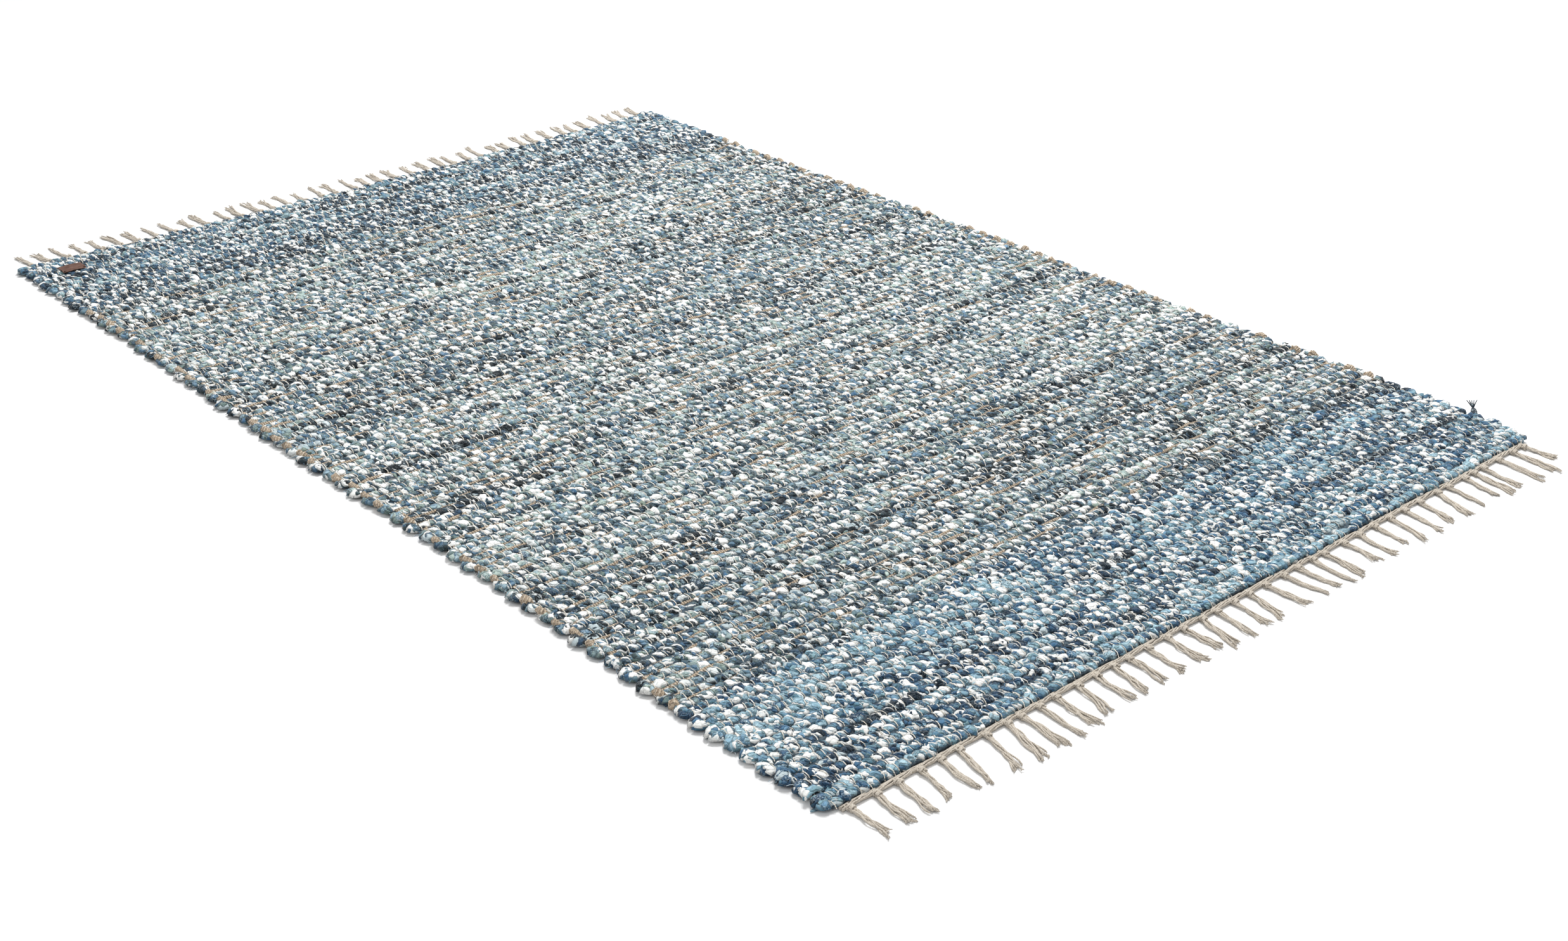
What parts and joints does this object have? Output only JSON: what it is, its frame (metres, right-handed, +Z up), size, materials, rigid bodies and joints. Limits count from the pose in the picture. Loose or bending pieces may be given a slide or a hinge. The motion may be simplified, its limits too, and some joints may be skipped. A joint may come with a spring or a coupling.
{
  "type": "cotton rug",
  "caption": "Flat hand-woven rag rug of twisted blue denim and cotton strips with jute picks, knotted cotton fringes at both ends and a small bare leather label.",
  "frame": {"origin": "on the floor, under the middle of the rug with its fringes", "axes": "+Z up, +Y along the warp towards the end with the label, +X along the picks with the label on the -X side"},
  "size_m": [1.5916, 2.5436, 0.0168],
  "materials": {
    "woven_cotton": "matt twisted denim and cotton rags with jute picks and a cotton warp",
    "fringe_yarn": "matt plied cotton yarn, unbleached",
    "label_leather": "smooth brown leather, bare"
  },
  "bodies": {
    "root": {"rug_body": "woven_cotton", "fringe_near": "fringe_yarn", "fringe_far": "fringe_yarn", "label": "label_leather"}
  },
  "joints": []
}
